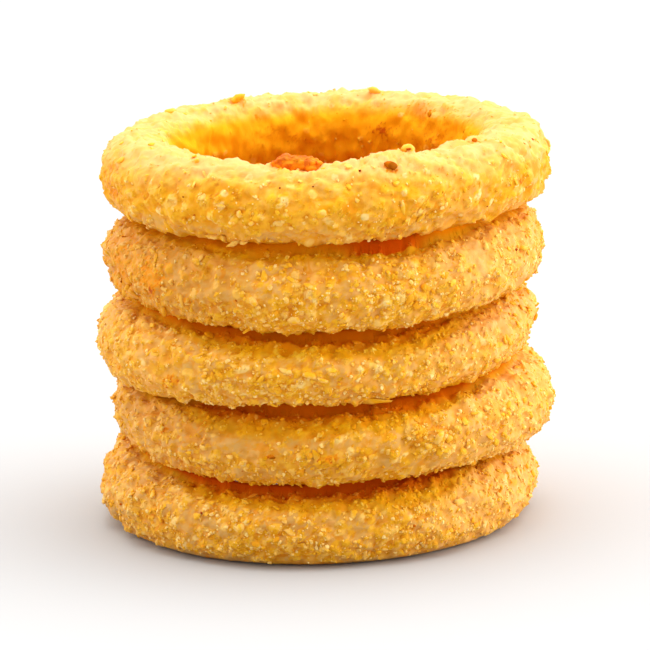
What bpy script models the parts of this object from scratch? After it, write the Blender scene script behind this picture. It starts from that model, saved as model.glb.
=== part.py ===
"""A side of five breaded onion rings, stacked one on another.

Each ring is one closed solid: a torus whose centre line is a little oval and
wavy, and whose tube is a little wider or flatter from place to place.  The
rings are laid from the table up.  The crown of each ring follows the underside
of the ring that lies on it, with a small clearance, and the two part company on
one side, where the stack shows a dark gap.

Lengths in the tables below are millimetres; the scene is in metres, +Z up.
The stack stands on z = 0 with its box centred on the Z axis.
"""

import math
import random

import bpy
from mathutils import Matrix, Vector

MM = 0.001

# ---- driving dimensions ------------------------------------------------------
MAJOR_SEGMENTS = 60      # round the ring
MINOR_SEGMENTS = 16      # round the tube
SECTION_POWER = 2.15     # 2 is an ellipse, more is squarer at the shoulders
CLEARANCE = 0.45         # between one ring's underside and the next one's crown
TABLE = 0.0              # the lowest ring's underside is cut flat at this height
LUMP_HEIGHT = 0.22       # rise of the low swellings on the sides of the tube
LUMP_TERMS = 7

# One entry a ring, from the table up.
#   centre    where the ring's centre lies, x and y
#   spine     radius of the tube's centre line
#   width     half width of the tube, in plan
#   drop      half height of the tube below its centre line
#   height    height of the centre line above the table
#   tilt      slope of the ring and the direction (degrees) in which it rises
#   oval      swelling of the centre line two times round, and its direction
#   three     the same, three times round
#   wave2/3   rise and fall of the centre line, two and three times round
#   fuller    extra half height on one side, and its direction
#   part      how far the next ring stands off, its direction and its half width
RINGS = [
    dict(name="ring_1_bottom", centre=(-2.05, 0.10), spine=33.90, width=7.60,
         drop=7.85, height=6.90, tilt=(0.000, 0), oval=(0.12, 92), three=(0.18, 19),
         wave2=(0.10, 150), wave3=(0.18, 48), fuller=(0.00, 0), part=(1.00, 268, 62)),
    dict(name="ring_2", centre=(1.05, 0.30), spine=34.20, width=7.55,
         drop=7.30, height=22.00, tilt=(0.010, 0), oval=(0.10, 160), three=(0.20, 24),
         wave2=(0.18, 166), wave3=(0.42, 60), fuller=(0.10, 20), part=(1.30, 262, 40)),
    dict(name="ring_3", centre=(-1.70, -0.10), spine=34.20, width=7.50,
         drop=7.10, height=36.65, tilt=(0.036, 2), oval=(0.60, 58), three=(0.22, 89),
         wave2=(0.11, 75), wave3=(0.28, 0), fuller=(0.20, 140), part=(0.90, 285, 75)),
    dict(name="ring_4", centre=(0.00, -0.20), spine=34.20, width=7.55,
         drop=7.30, height=51.35, tilt=(0.014, 45), oval=(0.24, 67), three=(0.10, 19),
         wave2=(0.09, 5), wave3=(0.36, 92), fuller=(0.00, 0), part=(1.55, 290, 50)),
    dict(name="ring_5_top", centre=(0.55, -0.10), spine=34.40, width=7.55,
         drop=7.95, height=67.05, tilt=(0.022, 296), oval=(0.78, 28), three=(0.30, 24),
         wave2=(0.15, 176), wave3=(0.20, 95), fuller=(0.33, 90), part=(0.00, 0, 60)),
]
TOP_RISE = 7.90          # half height above the centre line, on the top ring

# Fried breadcrumb, paler on the lower rings where less of the crust browned.
CRUST_COLOURS = {
    "ring_1_bottom": (0.70, 0.34, 0.060),
    "ring_2": (0.72, 0.34, 0.050),
    "ring_3": (0.76, 0.38, 0.060),
    "ring_4": (0.78, 0.39, 0.060),
    "ring_5_top": (0.86, 0.46, 0.070),
}
CRUST_ROUGHNESS = 0.62


# ---- the shape of one ring ---------------------------------------------------
def harmonic(term, times, angle):
    """A swelling of term[0], times round the ring, highest in direction term[1]."""
    size, direction = term
    return size * math.cos(times * (angle - math.radians(direction)))


def spine_radius(ring, angle):
    return ring["spine"] + harmonic(ring["oval"], 2, angle) + harmonic(ring["three"], 3, angle)


def spine_height(ring, angle):
    slope, direction = ring["tilt"]
    rise = slope * ring["spine"] * math.cos(angle - math.radians(direction))
    return (ring["height"] + rise + harmonic(ring["wave2"], 2, angle)
            + harmonic(ring["wave3"], 3, angle))


def half_below(ring, angle):
    return ring["drop"] + harmonic(ring["fuller"], 1, angle)


def stand_off(ring, angle):
    """Clearance to the ring above, wider on the side where the two part."""
    size, direction, reach = ring["part"]
    away = (math.degrees(angle) - direction + 180.0) % 360.0 - 180.0
    if abs(away) >= reach:
        return CLEARANCE
    return CLEARANCE + size * 0.5 * (1.0 + math.cos(math.pi * away / reach))


def half_above(ring, above, angle):
    """Half height of the tube above its centre line."""
    if above is None:
        return TOP_RISE + harmonic(ring["fuller"], 1, angle)
    underside = spine_height(above, angle) - half_below(above, angle)
    return underside - stand_off(ring, angle) - spine_height(ring, angle)


def lumps_of(seed):
    """Directions and counts of the low swellings, the same on every run."""
    dice = random.Random(seed)
    return [(dice.randint(3, 10), dice.choice((-2, -1, 0, 1, 2)),
             dice.uniform(0.0, 2.0 * math.pi), dice.uniform(0.5, 1.0))
            for _ in range(LUMP_TERMS)]


def lump(terms, angle, turn):
    total = sum(w * math.cos(n * angle + m * turn + p) for n, m, p, w in terms)
    return LUMP_HEIGHT * total / math.sqrt(LUMP_TERMS / 2.0) * math.cos(turn) ** 2


def squared(value):
    """cos or sin of the turn round the tube, bent from an ellipse to a squarer oval."""
    return math.copysign(abs(value) ** (2.0 / SECTION_POWER), value)


def ring_point(ring, above, terms, angle, turn):
    """The point of the crust at this direction round the ring and turn round the tube."""
    swell = lump(terms, angle, turn)
    across = ring["width"] * squared(math.cos(turn)) + swell * math.cos(turn)
    half = half_above(ring, above, angle) if math.sin(turn) > 0.0 else half_below(ring, angle)
    up = half * squared(math.sin(turn))
    radius = spine_radius(ring, angle) + across
    return (ring["centre"][0] + radius * math.cos(angle),
            ring["centre"][1] + radius * math.sin(angle),
            spine_height(ring, angle) + up)


# ---- building ------------------------------------------------------------------
def clear_scene():
    for obj in list(bpy.data.objects):
        bpy.data.objects.remove(obj, do_unlink=True)


def crust_material(name):
    material = bpy.data.materials.new("crust_" + name)
    material.use_nodes = True
    surface = material.node_tree.nodes["Principled BSDF"]
    surface.inputs["Base Color"].default_value = (*CRUST_COLOURS[name], 1.0)
    surface.inputs["Roughness"].default_value = CRUST_ROUGHNESS
    surface.inputs["Metallic"].default_value = 0.0
    return material


def make_ring(index, collection):
    ring = RINGS[index]
    above = RINGS[index + 1] if index + 1 < len(RINGS) else None
    bpy.ops.mesh.primitive_torus_add(
        major_segments=MAJOR_SEGMENTS, minor_segments=MINOR_SEGMENTS,
        major_radius=ring["spine"] * MM, minor_radius=ring["width"] * MM,
        location=(0.0, 0.0, 0.0))
    obj = bpy.context.active_object
    obj.name = ring["name"]
    obj.data.name = ring["name"]
    for owner in list(obj.users_collection):
        owner.objects.unlink(obj)
    collection.objects.link(obj)

    terms = lumps_of(11 + index)
    for vertex in obj.data.vertices:
        x, y, z = vertex.co
        angle = math.atan2(y, x)
        turn = math.atan2(z, math.hypot(x, y) - ring["spine"] * MM)
        point = ring_point(ring, above, terms, angle, turn)
        # The lowest ring rests on a flat band: nothing goes below the table.
        vertex.co = (point[0] * MM, point[1] * MM, max(point[2], TABLE) * MM)

    obj.data.materials.append(crust_material(ring["name"]))
    obj.data.shade_smooth()
    return obj


def settle(objects):
    """Puts each object's origin at the middle of its ring, and the box of the stack
    centred on the Z axis with its underside on z = 0."""
    points = [v.co.copy() for obj in objects for v in obj.data.vertices]
    shift = Vector((
        -(min(p.x for p in points) + max(p.x for p in points)) / 2.0,
        -(min(p.y for p in points) + max(p.y for p in points)) / 2.0,
        -min(p.z for p in points)))
    for obj, ring in zip(objects, RINGS):
        middle = Vector((*ring["centre"], ring["height"])) * MM
        obj.data.transform(Matrix.Translation(-middle))
        obj.location = middle + shift


def main():
    clear_scene()
    collection = bpy.data.collections.new("onion_rings_side")
    bpy.context.scene.collection.children.link(collection)
    rings = [make_ring(index, collection) for index in range(len(RINGS))]
    settle(rings)


main()
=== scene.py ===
"""Looks for a side of five breaded onion rings, stacked one on another.

Each CAD ring is replaced by a piece with the same place and size.  The packed
ring is measured with rays from the middle of its tube, its facets are smoothed
away, and the crust is raised on it: swellings, dents, folds and half-sunk crumbs.
Loose crumbs, flakes and toasted bits lie on top as joined meshes.
"""

import math

import bmesh
import bpy
import numpy as np
from mathutils import Matrix, Vector, noise
from mathutils.bvhtree import BVHTree


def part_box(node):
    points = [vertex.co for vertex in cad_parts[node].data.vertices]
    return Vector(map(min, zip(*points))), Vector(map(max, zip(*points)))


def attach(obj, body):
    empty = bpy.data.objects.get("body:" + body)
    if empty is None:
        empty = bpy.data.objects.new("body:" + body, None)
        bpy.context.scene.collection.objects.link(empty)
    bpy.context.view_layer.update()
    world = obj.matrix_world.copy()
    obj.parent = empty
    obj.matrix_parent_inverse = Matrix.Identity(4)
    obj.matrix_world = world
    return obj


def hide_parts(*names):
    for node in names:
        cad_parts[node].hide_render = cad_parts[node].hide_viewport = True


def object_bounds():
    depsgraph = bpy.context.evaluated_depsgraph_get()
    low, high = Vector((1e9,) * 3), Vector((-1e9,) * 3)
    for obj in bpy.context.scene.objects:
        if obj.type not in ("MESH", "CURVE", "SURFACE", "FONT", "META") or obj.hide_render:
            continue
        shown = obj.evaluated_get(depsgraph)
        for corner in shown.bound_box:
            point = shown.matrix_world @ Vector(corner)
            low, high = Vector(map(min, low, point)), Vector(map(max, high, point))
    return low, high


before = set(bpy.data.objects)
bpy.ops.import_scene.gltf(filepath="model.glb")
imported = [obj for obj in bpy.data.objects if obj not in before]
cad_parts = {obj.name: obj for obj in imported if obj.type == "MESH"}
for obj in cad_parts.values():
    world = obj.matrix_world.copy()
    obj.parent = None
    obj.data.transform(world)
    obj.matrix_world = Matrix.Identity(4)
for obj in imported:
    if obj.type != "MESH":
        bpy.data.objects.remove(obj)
cad_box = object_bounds()

MM = 0.001
TAU = 2.0 * math.pi
RINGS = ["ring_1_bottom", "ring_2", "ring_3", "ring_4", "ring_5_top"]
TOP = 4

AROUND = 640             # grid steps round a ring
TUBE = 78                # grid steps round the tube
TUBE_TOP = 92            # the same on the top ring, whose hole shows
RAYS_AROUND = 240
RAYS_TUBE = 96
KEEP_AROUND = 20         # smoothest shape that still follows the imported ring
KEEP_TUBE = 9
NOISE_TUBE = 192


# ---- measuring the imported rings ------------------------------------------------
def surface_tree(obj):
    mesh = obj.data
    points = [v.co.copy() for v in mesh.vertices]
    return BVHTree.FromPolygons(points, [tuple(p.vertices) for p in mesh.polygons])


def low_pass(values, keep):
    """Keeps the first few harmonics of a periodic row of numbers."""
    spectrum = np.fft.rfft(values)
    spectrum[keep + 1:] = 0.0
    return np.fft.irfft(spectrum, len(values))


def measure(node):
    """The middle line of a ring's tube and the distance from it to the surface."""
    tree = surface_tree(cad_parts[node])
    low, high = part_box(node)
    middle = ((low.x + high.x) / 2, (low.y + high.y) / 2)
    angles = np.arange(RAYS_AROUND) * TAU / RAYS_AROUND
    outer = min(high.x - low.x, high.y - low.y) / 2
    tube_r = np.full(RAYS_AROUND, outer - 0.0076)
    tube_z = np.full(RAYS_AROUND, (low.z + high.z) / 2)

    def reach(i, turn):
        c, s = math.cos(angles[i]), math.sin(angles[i])
        start = Vector((middle[0] + tube_r[i] * c, middle[1] + tube_r[i] * s, tube_z[i]))
        way = Vector((math.cos(turn) * c, math.cos(turn) * s, math.sin(turn)))
        hit = tree.ray_cast(start, way, 0.05)
        return hit[3] if hit[3] is not None else 0.0076

    for _ in range(3):
        for i in range(RAYS_AROUND):
            out, back = reach(i, 0.0), reach(i, math.pi)
            up, down = reach(i, math.pi / 2), reach(i, -math.pi / 2)
            tube_r[i] += (out - back) / 2
            tube_z[i] += (up - down) / 2
        tube_r = low_pass(tube_r, 12)
        tube_z = low_pass(tube_z, 12)

    turns = np.arange(RAYS_TUBE) * TAU / RAYS_TUBE
    radii = np.array([[reach(i, t) for t in turns] for i in range(RAYS_AROUND)])
    return dict(middle=middle, tube_r=tube_r, tube_z=tube_z, radii=radii, low=low, high=high)


def resample_around(values, count):
    """Reads a periodic row at more places, with no new harmonics."""
    spectrum = np.fft.rfft(values, axis=0)
    keep = min(KEEP_AROUND, spectrum.shape[0] - 1)
    wide = np.zeros((count // 2 + 1,) + spectrum.shape[1:], complex)
    wide[:keep + 1] = spectrum[:keep + 1]
    return np.fft.irfft(wide, count, axis=0) * (count / values.shape[0])


def resample_tube(values, turns):
    """Reads rows that are periodic round the tube at the given turns."""
    count = values.shape[1]
    spectrum = np.fft.rfft(values, axis=1)[:, :KEEP_TUBE + 1] / count
    spectrum[:, 1:] *= 2.0
    order = np.arange(KEEP_TUBE + 1)
    waves = np.exp(1j * np.outer(order, turns))
    return (spectrum @ waves).real


def spread_turns(count, top):
    """Turns round the tube, closer together where the crust shows most."""
    fine = np.linspace(-math.pi, math.pi, 4001)
    degrees = np.degrees(fine)
    if top:
        weight = np.where((degrees > -75) & (degrees < 200), 1.0, 0.6)
        weight = np.where(degrees < -150, 0.8, weight)
    else:
        weight = np.where(np.abs(degrees) < 80, 1.0, 0.42)
    kernel = np.hanning(301)
    kernel /= kernel.sum()
    weight = np.convolve(np.concatenate([weight[-400:-1], weight, weight[1:400]]), kernel, "same")[399:-399]
    total = np.concatenate([[0.0], np.cumsum((weight[1:] + weight[:-1]) / 2)])
    total /= total[-1]
    return np.interp(np.arange(count) / count, total, fine)


# ---- noise on the surface --------------------------------------------------------
def banded(rng, short, long, length=215.0, girth=47.0, stretch=1.0):
    """Unit-size noise with features between short and long (mm), periodic both ways."""
    white = rng.standard_normal((AROUND, NOISE_TUBE))
    fu = np.fft.fftfreq(AROUND, length / AROUND)[:, None] * stretch
    fv = np.fft.rfftfreq(NOISE_TUBE, girth / NOISE_TUBE)[None, :]
    f = np.hypot(fu, fv)
    gain = np.exp(-(f * short * 0.55) ** 2) - np.exp(-(f * long * 0.55) ** 2)
    out = np.fft.irfft2(np.fft.rfft2(white) * gain, (AROUND, NOISE_TUBE))
    return out / out.std()


def read_noise(noise, place):
    """Noise at the given fractions of the way round the tube."""
    at = place * NOISE_TUBE
    low = np.floor(at).astype(int)
    part = at - low
    return noise[:, low % NOISE_TUBE] * (1 - part) + noise[:, (low + 1) % NOISE_TUBE] * part


def smooth(value, low, high):
    t = np.clip((value - low) / (high - low), 0.0, 1.0)
    return t * t * (3.0 - 2.0 * t)


def wrapped(degrees):
    return (degrees + 180.0) % 360.0 - 180.0


# ---- one ring --------------------------------------------------------------------
# Places on a ring: direction round it in degrees (270 faces the front), turn round
# the tube in degrees (0 faces out, 90 up), half sizes along and across in mm,
# the angle of the long side to the ring's direction, and a height or strength.
LUMPS = {
    "ring_5_top": [
        (18, 88, 7.0, 4.0, 0, -0.60), (0, 56, 4.0, 3.0, 0, 0.60), (163, 92, 8.0, 5.0, 0, -0.80),
        (121, 104, 2.6, 2.0, 0, 0.35),
        (261, 98, 5.6, 4.6, 0, -1.45), (282, 98, 3.0, 3.0, 0, 0.35), (300, 60, 5.0, 3.0, 0, 0.20),
        (333, 40, 3.0, 5.0, 0, 0.30), (199, 4, 5.0, 4.0, 0, -0.35), (73, 98, 2.4, 2.0, 0, 0.75),
        (300, -43, 12.0, 2.6, 0, -1.00), (275, 92, 2.8, 2.4, 0, 0.40), (289.5, 92, 4.2, 3.6, 0, 1.75), (268, -46, 9.0, 2.4, 0, -0.40),
    ],
    "ring_4": [(221, 4, 3.4, 3.0, 40, 0.45), (214, 20, 2.4, 2.0, 0, 0.35), (318, 34, 5.0, 3.0, 0, 0.30),
               (232, 16, 3.0, 2.4, 0, -0.30), (249, -14, 4.0, 2.0, 0, 0.30), (325, 60, 2.0, 1.6, 0, 0.45),
               (291, 58, 9.0, 1.4, 0, 0.30)],
    "ring_3": [(216, 12, 5.0, 3.0, 30, 0.30), (285, -35, 5.0, 2.0, 10, 0.30), (229, 20, 2.2, 3.0, 0, -0.35),
               (300, 10, 5.0, 3.0, 0, 0.25)],
    "ring_2": [(356, 66, 6.0, 3.4, 0, -0.50), (297, 6, 3.0, 2.6, 60, 0.40), (285, 24, 1.6, 3.0, 10, -0.30), (235, 0, 6.0, 3.0, 0, 0.20)],
    "ring_1_bottom": [(214, 24, 5.0, 1.5, 35, 0.50), (211, 38, 4.0, 1.3, 35, -0.55), (222, 8, 4.0, 1.8, 50, -0.35),
                      (241, 8, 2.0, 2.0, 0, -0.55), (252, 5, 3.4, 3.0, 0, 0.30), (312, 16, 3.0, 2.0, 20, 0.35)],
}
FOLDS = {
    "ring_5_top": [(218, 105, 9.0, 0.50, 4, -0.22), (222, 118, 8.0, 0.45, 6, -0.22), (228, 92, 7.0, 0.45, -6, -0.18),
                   (333, 42, 6.0, 0.6, 75, -0.35), (326, 55, 4.0, 0.5, 60, -0.20)],
    "ring_4": [(215, -5, 4.0, 0.5, 70, -0.25), (208, 15, 5.0, 0.5, 60, -0.25), (226, 12, 3.0, 0.5, 60, -0.30)],
    "ring_3": [(222, 20, 5.0, 0.5, 55, -0.25), (234, 24, 3.0, 0.5, 60, -0.20)],
    "ring_2": [(318, 0, 5.0, 0.5, 75, -0.22), (288, 26, 3.6, 0.5, 80, -0.30)],
    "ring_1_bottom": [(208, 30, 5.5, 0.55, 28, -0.35), (214, 12, 6.0, 0.5, 35, -0.35), (222, -8, 4.0, 0.45, 60, -0.22),
                      (255, -6, 4.0, 0.45, 75, -0.22)],
}
TOASTED = {
    "ring_5_top": [
        (325.5, 90, 1.6, 1.1, 0, 0.70), (288.5, 57.5, 1.3, 0.95, 0, 0.80), (48, 135, 0.8, 0.8, 0, 0.8),
        (66.7, 166, 2.4, 1.3, 0, 0.80), (43.7, 174, 1.0, 0.9, 0, 0.7), (116.6, 138, 0.9, 0.8, 0, 0.65),
        (101.9, 175, 1.4, 1.2, 0, 0.65), (121, 106, 1.8, 1.3, 10, 0.55), (196, 22, 3.0, 2.4, 0, 0.52), (197, -6, 3.8, 2.8, -20, 0.60),
        (300.3, -9, 2.0, 1.2, 30, 0.50), (294, -2, 1.2, 1.0, 0, 0.35), (111, 170, 5.0, 2.4, 0, 0.36),
        (96, 182, 4.0, 2.0, 0, 0.34), (332, -2, 0.7, 1.0, 0, 0.65), (318, -20, 2.0, 1.5, 0, 0.30),
        (236, -14, 2.0, 1.6, 0, 0.25), (245, -2, 3.0, 1.6, 0, 0.25), (28, 150, 3.5, 2.0, 0, 0.36), (46, 158, 9.0, 6.0, 0, 0.38),
        (30, 165, 8.0, 5.0, 0, 0.30), (60, 172, 9.0, 4.0, 0, 0.26),
    ],
    "ring_4": [
        (217, 20, 1.9, 1.3, 70, 0.70), (223, 3, 1.6, 1.3, 40, 0.62), (220.3, -15, 2.2, 1.2, 20, 0.92),
        (214, -4, 1.6, 2.4, 0, 0.45), (232, -18, 1.6, 1.2, 0, 0.50), (205, -30, 1.6, 1.2, 0, 0.45),
        (250, -8, 4.2, 2.2, 0, 0.30), (300, 66, 1.8, 0.8, 0, 0.40),
        (203, 5, 7.0, 9.0, 0, 0.40), (219, 2, 7.0, 8.0, 0, 0.36), (196, -30, 8.0, 5.0, 0, 0.34),
    ],
    "ring_3": [(230, -18, 1.9, 1.2, 20, 0.66), (276, -4, 2.0, 1.0, 20, 0.42), (207, -20, 1.6, 1.2, 0, 0.4),
               (200, -35, 2.0, 1.0, 0, 0.45), (214, -30, 1.6, 1.2, 0, 0.35)],
    "ring_2": [(220.6, 18, 0.8, 0.8, 0, 0.72), (268.7, -3, 2.0, 0.9, 0, 0.74), (253.5, 1, 0.7, 0.5, 0, 0.95),
               (345.9, 66, 1.8, 0.9, 20, 0.66), (212, 8, 0.7, 0.8, 0, 0.5), (275, -8, 2.6, 1.2, 0, 0.35)],
    "ring_1_bottom": [(270, -56, 9.0, 1.0, 0, 0.42), (236, -58, 9.0, 1.0, 0, 0.40), (305, -56, 8.0, 1.0, 0, 0.42),
                      (205, -56, 8.0, 1.0, 0, 0.35), (326.7, 18, 0.8, 0.7, 0, 0.6), (340, -50, 8.0, 1.0, 0, 0.35)],
}
BARE = {
    "ring_5_top": [(300, -45, 10.0, 1.8, 0, 0.7), (268, -40, 9.0, 1.6, 0, 0.7), (240, 65, 8.0, 2.5, 0, 0.5),
                   (270, 30, 9.0, 2.0, 0, 0.5), (318, 45, 5.0, 3.4, 0, 0.5)],
    "ring_4": [(228, 22, 2.6, 2.6, 0, 0.9), (239, 8, 3.4, 2.4, 0, 0.9), (252, 8, 2.6, 2.0, 0, 0.7),
               (316, 31, 3.0, 3.0, 0, 0.9), (334, 48, 3.0, 2.0, 0, 0.7)],
    "ring_3": [(236, 10, 3.4, 2.6, 20, 0.9), (222, 6, 2.5, 2.5, 0, 0.8), (262, 26, 4.5, 2.4, 0, 0.8),
               (328, 30, 5.0, 2.4, 0, 0.7)],
    "ring_2": [(244, 16, 7.0, 3.0, 0, 1.0), (280, 20, 4.0, 2.2, 0, 0.7), (292, -38, 7.0, 2.2, 0, 0.7),
               (228, 14, 3.0, 2.4, 0, 0.6)],
    "ring_1_bottom": [(233, 8, 3.0, 3.6, 0, 0.9), (244, 2, 3.0, 2.0, 0, 0.7), (280, 8, 5.0, 3.4, 0, 0.9),
                      (262, -38, 4.0, 2.0, 0, 0.7), (312, 17, 3.0, 2.0, 20, 0.9), (258, 26, 3.0, 2.0, 0, 0.6)],
}
# Places where the crumbs have gathered.
CLUSTERS = {
    "ring_5_top": [(246, -8, 15.0, 5.0, 0, 0.80), (284, -24, 9.0, 3.6, 0, 0.70), (299, -4, 4.0, 6.0, 0, 0.80),
                   (222, 12, 5.0, 5.0, 0, 0.50), (330, 0, 4.0, 7.0, 0, 0.60), (205, -20, 5.0, 5.0, 0, 0.80)],
    "ring_4": [(263, -6, 4.6, 3.4, 20, 1.10), (290, 2, 6.4, 5.0, 0, 1.20), (325, 2, 5.0, 5.0, 0, 0.80),
               (246, -30, 10.0, 2.4, 0, 0.70), (212, -10, 6.0, 8.0, 0, 0.60), (305, -26, 8.0, 3.0, 0, 0.60)],
    "ring_3": [(247, 2, 8.0, 6.0, 0, 0.60), (264, 3, 4.6, 3.4, 0, 1.20), (300, -8, 9.0, 4.0, 0, 0.60),
               (325, 4, 6.0, 6.0, 0, 0.60), (210, 10, 6.0, 6.0, 0, 0.60)],
    "ring_2": [(297, 5, 4.0, 3.6, 0, 1.00), (265, -14, 10.0, 3.0, 0, 0.60), (285, 28, 4.6, 3.0, 0, 0.80),
               (320, 12, 8.0, 7.0, 0, 0.70), (235, -22, 9.0, 3.0, 0, 0.70), (222, 26, 5.0, 5.0, 0, 0.50)],
    "ring_1_bottom": [(258, -22, 14.0, 5.0, 0, 1.00), (291, -4, 8.0, 7.0, 0, 0.80), (228, -4, 3.4, 4.4, 0, 0.80),
                      (322, 0, 7.0, 7.0, 0, 0.45), (214, -6, 6.0, 6.0, 0, 0.45), (248, 22, 5.0, 3.0, 0, 0.60)],
}
# Single chunks that stand out: ring, direction, turn, half length, half width,
# half thickness (mm), how deep it is sunk (0 to 1), slant, and paleness (0 to 1).
CHUNKS = {
    "gold": [
        ("ring_5_top", 145.8, 84, 1.7, 0.9, 0.75, 0.35, 0, 0.35), ("ring_5_top", 121.2, 102, 1.9, 1.1, 0.8, 0.5, 0, 0.0), ("ring_5_top", 73, 98, 1.1, 0.9, 0.7, 0.4, 0, 0.5),
        ("ring_5_top", 296.2, 93, 1.35, 0.95, 0.95, 0.0, 10, 0.30), ("ring_5_top", 268.1, -2, 1.1, 0.9, 0.5, 0.5, 50, 0.6),
        ("ring_4", 334, 20, 0.9, 0.7, 0.7, 0.35, 0, 0.5), ("ring_2", 297, 9, 1.3, 1.1, 0.8, 0.5, 60, 0.7),
        ("ring_2", 295, 1, 0.9, 0.7, 0.6, 0.5, 0, 0.5), ("ring_2", 301, 2, 0.8, 0.7, 0.6, 0.5, 0, 0.6),
        ("ring_1_bottom", 236, 18, 1.2, 0.6, 0.5, 0.5, 20, 0.6), ("ring_1_bottom", 250, 12, 1.1, 0.9, 0.6, 0.5, 20, 0.6),
        ("ring_4", 252, -2, 1.2, 0.6, 0.5, 0.4, 120, 0.7),
    ],
    "pale": [
        ("ring_5_top", 257.6, -16, 0.95, 0.55, 0.4, 0.3, 170, 0.95), ("ring_4", 254.4, 35, 1.9, 0.7, 0.5, 0.35, 85, 0.55),
        ("ring_4", 227.4, 7, 0.65, 0.55, 0.5, 0.3, 0, 0.95), ("ring_4", 224.6, -5, 1.0, 0.45, 0.4, 0.3, 150, 0.9),
        ("ring_4", 261.5, 30, 1.5, 0.45, 0.35, 0.3, 152, 0.6), ("ring_4", 266, 23, 1.6, 0.42, 0.35, 0.3, 150, 0.6),
        ("ring_4", 253.0, -13, 0.5, 0.45, 0.45, 0.3, 0, 1.0), ("ring_4", 231, -20, 1.1, 0.5, 0.45, 0.3, 110, 0.8),
        ("ring_3", 287, -56, 2.6, 0.8, 0.45, 0.2, 8, 0.85), ("ring_3", 262, 16, 1.3, 0.6, 0.4, 0.3, 160, 0.7),
        ("ring_3", 268, 8, 1.5, 0.7, 0.4, 0.3, 160, 0.7), ("ring_3", 271, 2, 1.2, 0.5, 0.4, 0.3, 170, 0.7),
        ("ring_3", 256, 4, 1.0, 0.5, 0.4, 0.3, 40, 0.6), ("ring_2", 264.7, 5, 1.5, 0.7, 0.5, 0.3, 92, 0.7),
        ("ring_2", 298.5, -54, 1.5, 0.45, 0.4, 0.1, 110, 0.2), ("ring_2", 242, -6, 0.8, 0.5, 0.4, 0.3, 0, 0.8),
        ("ring_2", 246, -8, 0.9, 0.4, 0.4, 0.3, 10, 0.8), ("ring_1_bottom", 310, 18, 1.6, 0.8, 0.4, 0.5, 160, 1.0),
        ("ring_1_bottom", 262, 6, 1.6, 0.6, 0.4, 0.4, 140, 0.7), ("ring_1_bottom", 265, -12, 0.8, 0.5, 0.4, 0.3, 0, 0.8),
        ("ring_5_top", 237.5, -58, 1.5, 0.75, 0.6, 0.0, 4, 0.9), ("ring_5_top", 240.5, -60, 1.3, 0.7, 0.55, 0.0, 12, 0.8),
        ("ring_5_top", 243.5, -60, 1.4, 0.7, 0.55, 0.05, 170, 0.9), ("ring_5_top", 246.5, -60, 1.1, 0.6, 0.5, 0.05, 0, 0.8),
        ("ring_5_top", 290, -8, 1.4, 0.5, 0.35, 0.5, 100, 0.8), ("ring_5_top", 296, -22, 1.3, 0.5, 0.35, 0.5, 60, 0.7),
    ],
    "toasted": [
        ("ring_5_top", 296.4, 85, 0.42, 0.28, 0.25, 0.3, 0, 0.25), ("ring_5_top", 279.4, 60, 0.26, 0.24, 0.2, 0.3, 0, 0.0),
        ("ring_5_top", 258, 35, 0.16, 0.15, 0.15, 0.2, 0, 0.0), ("ring_5_top", 231.3, 11, 0.16, 0.14, 0.15, 0.2, 0, 0.0),
        ("ring_5_top", 266.4, 38, 0.16, 0.14, 0.15, 0.2, 0, 0.0), ("ring_5_top", 288.3, 59, 1.15, 0.85, 0.55, 0.42, 0, 0.16),
        ("ring_5_top", 325.5, 90, 0.80, 0.60, 0.45, 0.35, 0, 0.40), ("ring_5_top", 47.5, 136, 0.55, 0.45, 0.40, 0.35, 0, 0.35),
        ("ring_1_bottom", 323.1, 64, 0.4, 0.22, 0.2, 0.2, 40, 0.0), ("ring_2", 253.5, 1, 0.55, 0.25, 0.2, 0.3, 10, 0.1),
        
    ],
}


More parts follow.
